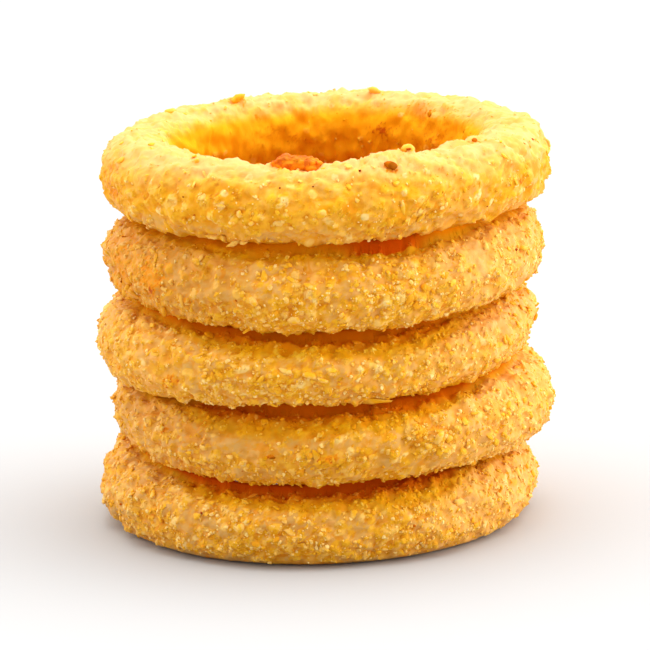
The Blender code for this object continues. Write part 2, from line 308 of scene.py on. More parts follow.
class Ring:
    """The grid of one ring: angle round it by place round the tube."""

    def __init__(self, index):
        self.index = index
        self.name = RINGS[index]
        self.top = index == TOP
        self.rng = np.random.default_rng(4100 + 17 * index)
        found = measure(self.name)
        self.low, self.high = found["low"], found["high"]
        tube = TUBE_TOP if self.top else TUBE
        self.angle = np.arange(AROUND) * TAU / AROUND
        self.turn = spread_turns(tube, self.top)
        centre_r = resample_around(found["tube_r"], AROUND)
        centre_z = resample_around(found["tube_z"], AROUND)
        radii = resample_tube(resample_around(found["radii"], AROUND), self.turn)
        self.centre_r, self.centre_z = centre_r, centre_z
        r = centre_r[:, None] + radii * np.cos(self.turn)[None, :]
        z = centre_z[:, None] + radii * np.sin(self.turn)[None, :]
        x = found["middle"][0] + r * np.cos(self.angle)[:, None]
        y = found["middle"][1] + r * np.sin(self.angle)[:, None]
        self.co = np.stack([x, y, z], -1)
        self.normal = self.normals()
        # fractions of the way round the tube, by length
        step = np.linalg.norm(np.roll(self.co, -1, 1) - self.co, axis=2).mean(0)
        self.girth = step.sum() / MM
        self.place = np.concatenate([[0.0], np.cumsum(step)[:-1]]) / step.sum()
        self.radius = r.mean(0) / MM
        self.deg_around = np.degrees(self.angle)
        self.deg_turn = np.degrees(self.turn)

    def normals(self):
        along = np.roll(self.co, -1, 0) - np.roll(self.co, 1, 0)
        across = np.roll(self.co, -1, 1) - np.roll(self.co, 1, 1)
        n = np.cross(along, across)
        return n / np.maximum(np.linalg.norm(n, axis=2, keepdims=True), 1e-12)

    def noise(self, short, long, stretch=1.0):
        return read_noise(banded(self.rng, short, long, stretch=stretch), self.place)

    def spot(self, spots, edge=0.35):
        """Sum and maximum of soft spots placed on the ring."""
        total = np.zeros(self.co.shape[:2])
        most = np.zeros(self.co.shape[:2])
        wobble = self.noise(1.2, 5.0) * edge
        for around, turn, long, wide, slant, size in spots:
            across = np.interp(turn, self.deg_turn, self.place)
            here = np.interp(turn, self.deg_turn, self.radius)
            u = np.radians(wrapped(self.deg_around - around))[:, None] * here
            v = (self.place - across + 0.5) % 1.0 - 0.5
            v = v[None, :] * self.girth
            c, s = math.cos(math.radians(slant)), math.sin(math.radians(slant))
            d = np.hypot((u * c + v * s) / long, (-u * s + v * c) / wide)
            value = size * np.exp(-np.maximum(d + wobble * np.minimum(d, 1.0), 0.0) ** 2 * 1.2)
            total += value
            most = np.maximum(most, np.abs(value))
        return total, most

    def domes(self, around, place, long, wide, slant, height, power=0.8):
        """Half-sunk crumbs raised on the grid, and how far up a crumb each point is."""
        rise = np.zeros(self.co.shape[:2])
        tone = np.zeros(self.co.shape[:2])
        columns = len(self.turn)
        cell_u = TAU * np.interp(place, self.place, self.radius) / AROUND
        reach_u = 4
        reach_v = 4
        iu = np.round(around / TAU * AROUND).astype(int)
        iv = np.searchsorted(self.place, place)
        ou = np.arange(-reach_u, reach_u + 1)
        ov = np.arange(-reach_v, reach_v + 1)
        gu = iu[:, None] + ou[None, :]
        gv = (iv[:, None] + ov[None, :]) % columns
        du = (gu * TAU / AROUND - around[:, None]) * AROUND / TAU * cell_u[:, None]
        dv = ((self.place[gv] - place[:, None] + 0.5) % 1.0 - 0.5) * self.girth
        c, s = np.cos(slant)[:, None, None], np.sin(slant)[:, None, None]
        a = (du[:, :, None] * c + dv[:, None, :] * s) / long[:, None, None]
        b = (-du[:, :, None] * s + dv[:, None, :] * c) / wide[:, None, None]
        dome = np.clip(1.0 - a * a - b * b, 0.0, None) ** power * height[:, None, None]
        cells = np.broadcast_to((gu % AROUND)[:, :, None] * columns + gv[:, None, :], dome.shape)
        own = np.broadcast_to(self.rng.random(len(around))[:, None, None], dome.shape)
        keep = dome > 0.0
        cells, dome, own = cells[keep], dome[keep], own[keep]
        order = np.argsort(dome)  # the tallest comes last and stays
        rise.flat[cells[order]] = dome[order]
        tone.flat[cells[order]] = own[order]
        return rise, tone

    def scatter(self, count, weight):
        """Places on the grid, picked with the given weight for each point."""
        area = self.cell_area() * weight
        chance = np.cumsum(area.ravel())
        pick = np.searchsorted(chance, self.rng.random(count) * chance[-1])
        i, j = np.unravel_index(np.minimum(pick, area.size - 1), area.shape)
        around = (i + self.rng.random(count) - 0.5) * TAU / AROUND
        gap = np.diff(np.append(self.place, 1.0))
        place = (self.place[j] + (self.rng.random(count) - 0.5) * gap[j]) % 1.0
        return around, place, i, j

    def cell_area(self):
        width = np.linalg.norm(np.roll(self.co, -1, 0) - self.co, axis=2)
        depth = np.linalg.norm(np.roll(self.co, -1, 1) - self.co, axis=2)
        return width * depth


def gaps(ring, other, way):
    """Straight up or down distance (mm) from the ring to its neighbour, where it is small."""
    out = np.full(ring.co.shape[:2], 9.0)
    if other is None:
        return out
    tree = surface_tree(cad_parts[RINGS[other]])
    heading = Vector((0.0, 0.0, way))
    lean = wrapped(ring.deg_turn - 90.0 * way)
    for j in np.nonzero(np.abs(lean) < 66.0)[0]:
        for i in range(0, AROUND, 2):
            hit = tree.ray_cast(Vector(ring.co[i, j]), heading, 0.009)
            if hit[3] is not None:
                out[i, j] = hit[3] / MM
        out[1::2, j] = (out[0::2, j] + np.roll(out[0::2, j], -1)) / 2
    return out


def blurred(values, reach):
    """A mean over the nearest few grid points."""
    total = np.zeros_like(values)
    for a in range(-reach, reach + 1):
        for b in range(-reach, reach + 1):
            total += np.roll(values, (a, b), (0, 1))
    return total / (2 * reach + 1) ** 2


def raise_crust(ring):
    """Swellings, folds and half-sunk crumbs, and the masks that the colours use."""
    degrees = ring.deg_turn[None, :] * np.ones((AROUND, 1))
    up = gaps(ring, None if ring.top else ring.index + 1, 1.0)
    down = gaps(ring, ring.index - 1 if ring.index else None, -1.0)
    if ring.index == 0:
        down = np.where(np.abs(wrapped(degrees + 90.0)) < 60.0, ring.co[:, :, 2] / MM, down)

    # The crown meets the ring above along a line a little inside its middle.
    if not ring.top:
        inside = np.exp(-((wrapped(degrees - 99.0)) / 11.0) ** 4)
        wide = smooth(up, 0.6, 1.2) * (ring.index == TOP - 1)
        lift = np.clip(up - 0.06 + 0.60 * wide, 0.0, 3.0) * (up < 4.0) * inside
        ring.co[:, :, 2] += lift * MM
        up = np.maximum(up - lift, 0.0)
    near = np.minimum(up, down)
    free = 1.0 - np.exp(-(near / 1.1) ** 2)

    broad = ring.noise(7.0, 26.0)
    medium = ring.noise(2.6, 8.0)
    ripple = ring.noise(1.3, 3.4)
    fine = ring.noise(0.7, 1.5)
    streak = ring.noise(0.9, 4.0, stretch=0.3)
    lumps, _ = ring.spot(LUMPS.get(ring.name, []), 0.15)
    folds, _ = ring.spot(FOLDS.get(ring.name, []), 0.25)
    _, toasted = ring.spot(TOASTED.get(ring.name, []), 0.55)
    _, bare = ring.spot(BARE.get(ring.name, []), 0.35)
    bare = np.clip(bare, 0.0, 1.0)
    crown_top = smooth(degrees, 34.0, 74.0) * (ring.top * 1.0)
    well = smooth(np.abs(wrapped(degrees)), 118.0, 150.0) if ring.top else smooth(np.abs(wrapped(degrees)), 102.0, 128.0)

    # Crumbs gather in clusters and thin out on bare batter and on the top crown.
    gather = ring.noise(2.6, 12.0) * 0.62 + ring.noise(1.0, 3.0) * 0.65 + ring.spot(CLUSTERS[ring.name], 0.45)[0]
    start = 0.85 if ring.top else (0.30, 0.38, 0.36, 0.32)[ring.index]
    crumbly = smooth(gather - 0.45 * crown_top - 0.5 * well, start, start + 0.62) * (1.0 - 0.9 * bare)
    fringe = np.exp(-((degrees + 56.0) / 13.0) ** 2)
    ragged = (0.35 if ring.top else 0.65) * fringe * smooth(ring.noise(2.0, 7.0), -0.8, 0.5)
    crumbly = np.clip(crumbly + ragged * (1.0 - bare), 0.0, 1.0)
    crumbly *= smooth(near, 0.3, 2.2) * 0.85 + 0.15

    weight = (0.02 + crumbly ** 1.6) * (0.10 + 0.90 * free) * (1.0 - 0.6 * crown_top)
    count = 1700 if ring.top else 3400
    around, place, i, j = ring.scatter(count, weight)
    size = 0.40 + 0.62 * ring.rng.random(count) ** 2.0
    long = size * ring.rng.uniform(1.0, 1.6, count)
    slant = ring.rng.uniform(0.0, math.pi, count)
    height = size * ring.rng.uniform(0.12, 0.34, count) * (0.25 + 0.75 * free[i, j])
    rise, tone = ring.domes(around, place, long, size, slant, height)

    height_mm = (
        (-0.42 + 0.26 * broad + 0.12 * medium * (1.0 - 0.8 * well)) * free
        + ripple * (0.022 - 0.008 * ring.top - 0.004 * crown_top + 0.028 * crumbly)
        + 0.018 * fine * (0.06 + 1.0 * crumbly)
        + 0.020 * streak * (1.0 - 0.6 * crumbly)
        + 0.17 * crumbly * free
        + lumps * free + folds
        + rise * 0.85
        + 0.12 * smooth(toasted, 0.2, 0.8)
        - 0.10 * bare
    )
    height_mm = np.minimum(height_mm, np.maximum(near - 0.05, 0.03) + np.where(near > 3.0, 9.0, 0.0))
    # how far a point lies below its neighbours, for the painted shade in hollows
    ring.hollow = np.clip((blurred(height_mm, 2) - height_mm) / 0.07, 0.0, 1.0)
    ring.co = ring.co + ring.normal * (height_mm * MM)[:, :, None]
    ring.co[:, :, 2] = np.maximum(ring.co[:, :, 2], cad_box[0][2])
    ring.normal = ring.normals()
    ring.crumbly, ring.free, ring.near = crumbly, free, near
    ring.bare = bare
    ring.toasted = np.clip(toasted, 0.0, 1.2)
    ring.crumb = np.clip(rise / 0.13, 0.0, 1.0)
    ring.tone = tone
    ring.streak = np.clip(0.5 + 0.25 * streak, 0.0, 1.0)

    # Colours: painted shade (ruddy, then deep amber red) where rings meet, under each
    # ring and in the hole; skin-coloured batter low down; a painted highlight (paler
    # crust) on the top crown and on the brighter sides.
    inner = smooth(np.abs(wrapped(degrees)), 100.0, 150.0)
    front = smooth(-np.sin(ring.angle), 0.60, 0.97)[:, None] * np.ones_like(degrees)
    # least: the brighter right side; painted highlight gathers there and the painted shade below keeps off it
    least = smooth(np.cos(ring.angle), 0.30, 0.90)[:, None] * np.ones_like(degrees)
    left = smooth(-np.cos(ring.angle), 0.35, 0.90)[:, None] * np.ones_like(degrees)
    # painted shade: how far the dark colour reaches below the ring above (further across the front), under the ring
    # below and on inner walls
    crown = np.exp(-(up / (1.2 + (4.4, 4.8, 4.0, 1.8, 0.0)[ring.index] * front)) ** 1.5)
    belly = np.exp(-(down / 2.0) ** 1.6) * (ring.index > 0)
    ring.deep = np.clip(crown + 0.9 * belly + inner * (0.0 if ring.top else 0.40), 0.0, 1.0)
    tan = (0.95, 0.90, 0.70, 0.62, 0.0)[ring.index] * (1.0 - 0.55 * least)
    if ring.top:
        tan = 0.85 * smooth(-degrees, 24.0, 42.0) * (1.0 - 0.6 * least)
    ring.tan = np.clip(tan * np.ones_like(degrees), 0.0, 1.0) * (1.0 - well)
    # room for pale patches: none in the hole; on the top ring mostly on the crown and the brighter right side, as
    # painted highlight
    ring.pale = (1.0 - well) * ((0.35 + 0.65 * np.maximum(crown_top, least)) if ring.top else 1.0)
    # painted highlight: paler crust on the brighter right and left sides, and on the top ring's crown
    bloom = 0.45 * least + 0.15 * left
    if ring.top:
        bloom = smooth(degrees + 22.0 * left + 22.0 * least, 26.0, 78.0) * (1.0 - smooth(degrees, 108.0, 146.0))
    ring.bloom = np.clip(bloom, 0.0, 1.0)
    # how dark the painted shade between rings turns, ring by ring
    ring.burnt = np.full(degrees.shape, (1.0, 0.75, 0.55, 0.0, 0.6)[ring.index])
    if ring.index == 3:
        # painted shadow: a dark red band on ring_4's crown under the front of the top ring
        gap = np.exp(-(wrapped(ring.deg_around - 289.0) / 16.0) ** 4)[:, None] * smooth(degrees, 74.0, 84.0)
        ring.burnt += gap
        ring.deep = np.maximum(ring.deep, gap * (degrees < 140.0))
    ring.well = well
    # painted shade: the lower rings darker and redder away from the bright right side; ring_4's left front browned
    side = smooth(np.cos(ring.angle - math.radians(212.0)), 0.72, 0.97)[:, None]
    ring.fried = np.clip((0.40, 0.48, 0.14, 0.10, 0.0)[ring.index] * (1.0 - least) + (1.0 if ring.index == 3 else 0.0) * side,
                         0.0, 1.0) * (1.0 - ring.deep)


# ---- meshes ------------------------------------------------------------------------
def build_mesh(name, co, faces, uv=None, values=None):
    """A mesh from arrays: points, faces of one size, a map and values on its points."""
    sides = faces.shape[1]
    mesh = bpy.data.meshes.new(name)
    mesh.vertices.add(len(co))
    mesh.vertices.foreach_set("co", np.ascontiguousarray(co, np.float32).ravel())
    mesh.loops.add(faces.size)
    mesh.loops.foreach_set("vertex_index", np.ascontiguousarray(faces, np.int32).ravel())
    mesh.polygons.add(len(faces))
    mesh.polygons.foreach_set("loop_start", np.arange(0, faces.size, sides, dtype=np.int32))
    mesh.polygons.foreach_set("use_smooth", np.ones(len(faces), bool))
    mesh.update(calc_edges=True)
    if uv is not None:
        layer = mesh.uv_layers.new(name="OFBake")
        layer.data.foreach_set("uv", np.ascontiguousarray(uv, np.float32).ravel())
    for key, numbers in (values or {}).items():
        attribute = mesh.attributes.new(key, "FLOAT", "POINT")
        attribute.data.foreach_set("value", np.ascontiguousarray(numbers, np.float32).ravel())
    obj = bpy.data.objects.new(name, mesh)
    bpy.context.scene.collection.objects.link(obj)
    return obj


def ring_object(ring, material):
    rows, columns = AROUND, len(ring.turn)
    i = np.repeat(np.arange(rows), columns)
    j = np.tile(np.arange(columns), rows)
    here = i * columns + j
    right = ((i + 1) % rows) * columns + j
    both = ((i + 1) % rows) * columns + (j + 1) % columns
    up = i * columns + (j + 1) % columns
    faces = np.stack([here, right, both, up], 1)
    # The map holds the crust in two strips, each half of the way round.
    half = rows // 2
    strip = i // half
    u0 = (i - strip * half) / half
    u1 = (i + 1 - strip * half) / half
    place = np.append(ring.place, 1.0)
    v0, v1 = place[j], place[j + 1]
    spot_u = lambda u: 0.006 + 0.988 * u
    spot_v = lambda v: 0.004 + 0.492 * v + 0.5 * strip
    uv = np.stack([
        np.stack([spot_u(u0), spot_v(v0)], 1), np.stack([spot_u(u1), spot_v(v0)], 1),
        np.stack([spot_u(u1), spot_v(v1)], 1), np.stack([spot_u(u0), spot_v(v1)], 1)], 1)
    values = dict(crumb=ring.crumb, tone=ring.tone, toasted=ring.toasted,
                  bare=ring.bare, deep=ring.deep, crumbly=ring.crumbly,
                  hollow=ring.hollow, tan=ring.tan, bloom=ring.bloom, streak=ring.streak, burnt=ring.burnt,
                  well=ring.well, fried=ring.fried, pale=ring.pale)
    obj = build_mesh("crust_" + ring.name, ring.co.reshape(-1, 3), faces, uv, values)
    obj.data.materials.append(material)
    return obj


def ico(level):
    """Points and triangles of an icosphere of radius 1."""
    bm = bmesh.new()
    bmesh.ops.create_icosphere(bm, subdivisions=level, radius=1.0)
    co = np.array([v.co for v in bm.verts])
    tris = np.array([[v.index for v in f.verts] for f in bm.faces])
    bm.free()
    return co, tris


def crumb_shapes(rng, level, kinds, rough):
    """Uneven granules: a ball with broken faces, its points pushed in and out."""
    if level == 0:
        co = np.array([(1, 0, 0), (-1, 0, 0), (0, 1, 0), (0, -1, 0), (0, 0, 1), (0, 0, -1)], float) * 1.15
        tris = np.array([(0, 2, 4), (2, 1, 4), (1, 3, 4), (3, 0, 4), (2, 0, 5), (1, 2, 5), (3, 1, 5), (0, 3, 5)])
        return co[None] * (1.0 + rough * rng.standard_normal((kinds, 6)))[:, :, None], tris
    co, tris = ico(level)
    shapes = []
    for _ in range(kinds):
        push = 1.0 + rough * rng.standard_normal(len(co))
        way = rng.standard_normal((7, 3))
        way /= np.linalg.norm(way, axis=1, keepdims=True)
        flat = np.full(len(co), 1.3)
        for w in way:
            flat = np.minimum(flat, rng.uniform(0.5, 0.95) / np.maximum(co @ w, 1e-3))
        shapes.append(co * np.clip(flat * push, 0.35, 1.5)[:, None])
    return np.array(shapes), tris


def joined_crumbs(name, picks, shapes, tris, rng, material, tilt=0.2):
    """One mesh of many crumbs, each turned its own way on the crust below it."""
    parts, tones, cells, deeps, blooms, burns, fries, wells = [], [], [], [], [], [], [], []
    for ring, (i, j, long, wide, tall, sink, slant, tone) in zip(rings, picks):
        n = ring.normal[i, j]
        along = np.roll(ring.co, -1, 0)[i, j] - ring.co[i, j]
        along -= n * (along * n).sum(1, keepdims=True)
        along /= np.linalg.norm(along, axis=1, keepdims=True)
        across = np.cross(n, along)
        tip = rng.normal(0.0, tilt, (len(i), 2))
        up = n + along * tip[:, :1] + across * tip[:, 1:]
        up /= np.linalg.norm(up, axis=1, keepdims=True)
        c, s = np.cos(slant)[:, None], np.sin(slant)[:, None]
        first = along * c + across * s
        first -= up * (first * up).sum(1, keepdims=True)
        first /= np.linalg.norm(first, axis=1, keepdims=True)
        second = np.cross(up, first)
        shape = shapes[rng.integers(0, len(shapes), len(i))]
        local = shape * np.stack([long, wide, tall], 1)[:, None, :] * MM
        at = ring.co[i, j] + n * (tall * (0.7 - 1.2 * sink) * MM)[:, None]
        world = (at[:, None, :] + local[:, :, :1] * first[:, None, :]
                 + local[:, :, 1:2] * second[:, None, :] + local[:, :, 2:] * up[:, None, :])
        parts.append(world)
        tones.append(tone)
        # the painted shade, painted highlight and painted darkening of the crust below go onto each crumb
        deeps.append(np.clip(ring.deep[i, j] + 0.5 * ring.toasted[i, j], 0.0, 1.0))
        blooms.append(ring.bloom[i, j])
        burns.append(ring.burnt[i, j])
        fries.append(ring.fried[i, j])
        wells.append(ring.well[i, j])
        cells.append(shape[:, :, :2])
    world = np.concatenate(parts)
    world[:, :, 2] = np.maximum(world[:, :, 2], cad_box[0][2] + 0.00001)
    tones = np.concatenate(tones)
    flat = np.concatenate(cells)
    count, points = world.shape[:2]
    faces = (tris[None] + np.arange(count)[:, None, None] * points).reshape(-1, 3)
    # each crumb has its own small square on the map
    grid = int(math.ceil(math.sqrt(count)))
    corner = np.stack([np.arange(count) % grid, np.arange(count) // grid], 1) / grid
    inside = np.clip((flat / 3.2 + 0.5) * 0.9 + 0.05, 0.04, 0.96)
    where = corner[:, None, :] + inside / grid
    uv = where.reshape(-1, 2)[faces.ravel()]
    values = dict(tone=np.repeat(tones, points), deep=np.repeat(np.concatenate(deeps), points),
                  bloom=np.repeat(np.concatenate(blooms), points),
                  burnt=np.repeat(np.concatenate(burns), points), fried=np.repeat(np.concatenate(fries), points),
                  well=np.repeat(np.concatenate(wells), points))
    obj = build_mesh(name, world.reshape(-1, 3), faces, uv, values)
    if points < 20:  # small broken grains keep their edges
        obj.data.polygons.foreach_set("use_smooth", np.zeros(len(faces), bool))
    obj.data.materials.append(material)
    return obj


# ---- materials ----------------------------------------------------------------------
class Nodes:
    """Short names for building a node tree."""

    def __init__(self, name):
        self.material = bpy.data.materials.new(name)
        self.material.use_nodes = True
        self.tree = self.material.node_tree
        self.surface = self.tree.nodes["Principled BSDF"]
        self.place = self.tree.nodes.new("ShaderNodeTexCoord").outputs["Object"]

    def link(self, source, target):
        self.tree.links.new(source, target)

    def noise(self, scale, detail=2.0, rough=0.5, warp=0.0):
        node = self.tree.nodes.new("ShaderNodeTexNoise")
        node.inputs["Scale"].default_value = scale
        node.inputs["Detail"].default_value = detail
        node.inputs["Roughness"].default_value = rough
        node.inputs["Distortion"].default_value = warp
        self.link(self.place, node.inputs["Vector"])
        return node.outputs["Fac"]

    def cells(self, scale):
        """Granules: the distance to the middle of each, and a number of its own."""
        node = self.tree.nodes.new("ShaderNodeTexVoronoi")
        node.inputs["Scale"].default_value = scale
        self.link(self.place, node.inputs["Vector"])
        split = self.tree.nodes.new("ShaderNodeSeparateColor")
        self.link(node.outputs["Color"], split.inputs[0])
        return node.outputs["Distance"], split.outputs[0]

    def value(self, name):
        node = self.tree.nodes.new("ShaderNodeAttribute")
        node.attribute_name = name
        return node.outputs["Fac"]

    def ramp(self, source, low, high, out_low=0.0, out_high=1.0):
        node = self.tree.nodes.new("ShaderNodeMapRange")
        node.interpolation_type = "SMOOTHSTEP"
        node.inputs["From Min"].default_value = low
        node.inputs["From Max"].default_value = high
        node.inputs["To Min"].default_value = out_low
        node.inputs["To Max"].default_value = out_high
        self.link(source, node.inputs["Value"])
        return node.outputs["Result"]

    def maths(self, operation, a, b, clamp=False):
        node = self.tree.nodes.new("ShaderNodeMath")
        node.operation = operation
        node.use_clamp = clamp
        for socket, item in zip(node.inputs, (a, b)):
            if isinstance(item, (int, float)):
                socket.default_value = item
            else:
                self.link(item, socket)
        return node.outputs["Value"]

    def mix(self, share, a, b, blend="MIX"):
        node = self.tree.nodes.new("ShaderNodeMix")
        node.data_type = "RGBA"
        node.blend_type = blend
        node.clamp_factor = True
        for socket, item in ((node.inputs[0], share), (node.inputs[6], a), (node.inputs[7], b)):
            if isinstance(item, (int, float)):
                socket.default_value = item
            elif isinstance(item, tuple):
                socket.default_value = (*item, 1.0)
            else:
                self.link(item, socket)
        return node.outputs[2]

    def bump(self, height, strength, distance, after=None):
        node = self.tree.nodes.new("ShaderNodeBump")
        node.inputs["Strength"].default_value = strength
        node.inputs["Distance"].default_value = distance
        self.link(height, node.inputs["Height"])
        if after is not None:
            self.link(after, node.inputs["Normal"])
        return node.outputs["Normal"]


TAN = (0.69, 0.385, 0.115)
HONEY = (0.88, 0.37, 0.008)
YELLOW = (0.95, 0.49, 0.016)
GOLD = (0.82, 0.36, 0.004)
PALE = (0.97, 0.58, 0.13)
CREAM = (1.00, 0.74, 0.28)
# pale powdery patches, and the colour of the painted highlight
POWDER = (0.94, 0.475, 0.15)
AMBER = (0.84, 0.285, 0.003)
RUST = (0.54, 0.085, 0.003)
# the next three colours are the painted shade where rings meet and in the hole
RUDDY = (0.76, 0.28, 0.004)
DEEP = (0.95, 0.33, 0.002)
SCORCHED = (0.66, 0.09, 0.0008)
DARK = (0.20, 0.010, 0.001)
# painted light on the hole's inner wall
SUNLIT = (1.00, 0.37, 0.003)
# painted shade in the hollows between crumbs
GROOVE = (0.74, 0.235, 0.002)


def finish_surface(n, roughness, subsurface, radius, spread=(1.0, 0.60, 0.30), shine=0.09):
    """A dry, slightly oily skin; its shine and sheen fade out under the painted shade where rings meet and in the hole.
    """
    deep = n.maths("MAXIMUM", n.value("deep"), n.maths("MULTIPLY", n.value("well"), 0.6))
    n.surface.inputs["Roughness"].default_value = roughness
    n.surface.inputs["IOR"].default_value = 1.45
    n.link(n.ramp(deep, 0.05, 0.60, shine, 0.02), n.surface.inputs["Specular IOR Level"])
    n.link(n.ramp(deep, 0.05, 0.50, 0.035 * min(1.0, shine / 0.09), 0.0), n.surface.inputs["Sheen Weight"])
    n.surface.inputs["Sheen Roughness"].default_value = 0.45
    n.surface.inputs["Sheen Tint"].default_value = (1.0, 0.86, 0.62, 1.0)
    n.surface.inputs["Subsurface Weight"].default_value = subsurface
    n.surface.inputs["Subsurface Radius"].default_value = spread
    n.surface.inputs["Subsurface Scale"].default_value = radius


def deepened(n, colour, share=1.0):
    """Painted shade on a colour low between rings and in the hole: ruddy, then a deep amber red."""
    deep = n.value("deep")
    ruddy = n.mix(0.35, n.mix(1.0, colour, (0.88, 0.85, 0.16), "MULTIPLY"), RUDDY)
    colour = n.mix(n.ramp(deep, 0.04, 0.42, 0.0, share), colour, ruddy)
    low = n.mix(n.value("burnt"), DEEP, SCORCHED)
    return n.mix(n.ramp(deep, 0.50, 1.00, 0.0, share), colour, low)


def crust_material():
    n = Nodes("breaded_crust")
    broad = n.noise(110.0, 3.0, 0.55, 0.2)
    patch = n.noise(230.0, 3.0, 0.6, 0.4)
    small = n.noise(470.0, 3.0, 0.6, 0.3)
    grain = n.noise(1500.0, 3.0, 0.6)
    near, own = n.cells(1500.0)
    dust, dust_own = n.cells(3900.0)
    crumbly = n.value("crumbly")
    bloom = n.value("bloom")
    # batter: gold, honey and yellow where it has fried, with paler soft places
    colour = n.mix(n.ramp(small, 0.40, 0.58), GOLD, YELLOW)
    colour = n.mix(n.ramp(broad, 0.40, 0.60, 0.10, 0.85), colour, HONEY)
    # pale patches, none in the hole; on the top ring they gather as painted highlight
    open_air = n.value("pale")
    well = n.value("well")
    colour = n.mix(n.maths("MULTIPLY", n.ramp(patch, 0.48, 0.60, 0.0, 0.70), open_air), colour, POWDER)
    wide = n.noise(75.0, 2.0, 0.5)
    colour = n.mix(n.maths("MULTIPLY", n.ramp(wide, 0.46, 0.58, 0.0, 0.45), open_air), colour, POWDER)
    # tan where the skin is smooth and thin
    skin = n.maths("MULTIPLY", n.value("tan"), n.ramp(n.noise(200.0, 3.0, 0.5, 0.3), 0.44, 0.53, 0.30, 1.0))
    skin = n.maths("MAXIMUM", skin, n.maths("MULTIPLY", n.value("bare"), 0.95))
    skin = n.maths("MULTIPLY", skin, n.ramp(crumbly, 0.1, 0.9, 1.0, 0.30))
    colour = n.mix(skin, colour, TAN)
    colour = n.mix(n.maths("MULTIPLY", n.ramp(n.value("streak"), 0.50, 0.85, 0.0, 0.55), n.ramp(small, 0.3, 0.7)),
                   colour, GOLD)
    # grooves and scattered places where the fat has browned it
    amber = n.maths("MULTIPLY", n.ramp(n.noise(300.0, 3.0, 0.6, 0.5), 0.54, 0.63, 0.0, 0.65), n.ramp(bloom, 0.0, 0.6, 1.0, 0.3))
    amber = n.maths("MULTIPLY", amber, n.ramp(well, 0.0, 1.0, 1.0, 0.35))
    colour = n.mix(amber, colour, AMBER)
    # granules, each of its own shade
    colour = n.mix(n.ramp(crumbly, 0.25, 0.85, 0.0, 0.80), colour, n.mix(n.ramp(small, 0.42, 0.58), GOLD, YELLOW))
    granule = n.maths("MULTIPLY", n.ramp(near, 0.30, 0.62, 1.0, 0.0), n.ramp(crumbly, 0.25, 0.80, 0.0, 0.75))
    shade = n.mix(n.ramp(own, 0.15, 0.50), GOLD, YELLOW)
    shade = n.mix(n.ramp(own, 0.50, 0.90), shade, PALE)
    colour = n.mix(granule, colour, shade)
    tone = n.value("tone")
    lump_shade = n.mix(n.ramp(tone, 0.10, 0.45), GOLD, YELLOW)
    lump_shade = n.mix(n.ramp(tone, 0.40, 0.85), lump_shade, PALE)
    lump_shade = n.mix(n.ramp(tone, 0.85, 1.0), lump_shade, CREAM)
    colour = n.mix(n.ramp(n.value("crumb"), 0.15, 0.85, 0.0, 0.85), colour, lump_shade)
    # fine pale dust, and painted shade: darker amber in the hollows between crumbs
    dusty = n.maths("MULTIPLY", n.ramp(dust, 0.10, 0.34, 1.0, 0.0), n.ramp(dust_own, 0.74, 0.90, 0.0, 0.75))
    dusty = n.maths("MULTIPLY", dusty, n.ramp(crumbly, 0.0, 0.5, 0.08, 1.0))
    colour = n.mix(dusty, colour, CREAM)
    colour = n.mix(n.ramp(grain, 0.30, 0.46, 0.30, 0.0), colour, GOLD)
    colour = n.mix(n.maths("MULTIPLY", n.value("hollow"), n.ramp(crumbly, 0.0, 0.5, 0.35, 0.95)), colour,
                   n.mix(n.ramp(patch, 0.4, 0.6), GROOVE, GOLD))
    # painted light: the hole's inner wall brighter and more saturated orange
    colour = n.mix(n.maths("MULTIPLY", well, 0.60), colour, SUNLIT)
    # painted highlight: paler crust on the top crown and the brighter sides
    flour = n.maths("MULTIPLY", bloom, n.ramp(patch, 0.36, 0.56, 0.45, 0.95))
    colour = n.mix(flour, colour, POWDER)
    # painted shade on the lower rings away from the bright right side, and ring_4's browned left front
    colour = n.mix(n.value("fried"), colour, n.mix(1.0, colour, (0.86, 0.79, 0.68), "MULTIPLY"))
    # painted shade where rings meet and in the hole
    colour = deepened(n, colour)
    toast = n.maths("ADD", n.value("toasted"), n.ramp(grain, 0.35, 0.65, -0.12, 0.12))
    toast = n.maths("ADD", toast, n.ramp(small, 0.35, 0.65, -0.10, 0.10))
    colour = n.mix(n.ramp(toast, 0.16, 0.58), colour, AMBER)
    colour = n.mix(n.ramp(toast, 0.45, 0.90), colour, RUST)
    colour = n.mix(n.ramp(toast, 0.95, 1.15, 0.0, 0.8), colour, DARK)
    n.link(colour, n.surface.inputs["Base Color"])
    finish_surface(n, 0.5, 0.12, 0.0009)
    rough = n.ramp(n.noise(700.0, 2.0), 0.35, 0.65, 0.36, 0.56)
    n.link(rough, n.surface.inputs["Roughness"])
    calm = n.maths("MULTIPLY", n.ramp(bloom, 0.50, 1.0, 1.0, 0.45), n.ramp(crumbly, 0.0, 0.6, 0.40, 1.0))
    soft = n.bump(n.maths("MULTIPLY", n.noise(900.0, 3.0, 0.6), calm), 0.5, 0.00022)
    round_top = n.maths("MULTIPLY", n.ramp(near, 0.0, 0.75, 1.0, 0.0), n.ramp(crumbly, 0.25, 0.8, 0.0, 1.0))
    grainy = n.bump(round_top, 0.75, 0.00020, soft)
    sharp = n.bump(n.maths("MULTIPLY", n.ramp(dust, 0.0, 0.6, 1.0, 0.0), calm), 0.5, 0.00009, grainy)
    n.link(sharp, n.surface.inputs["Normal"])
    return n.material


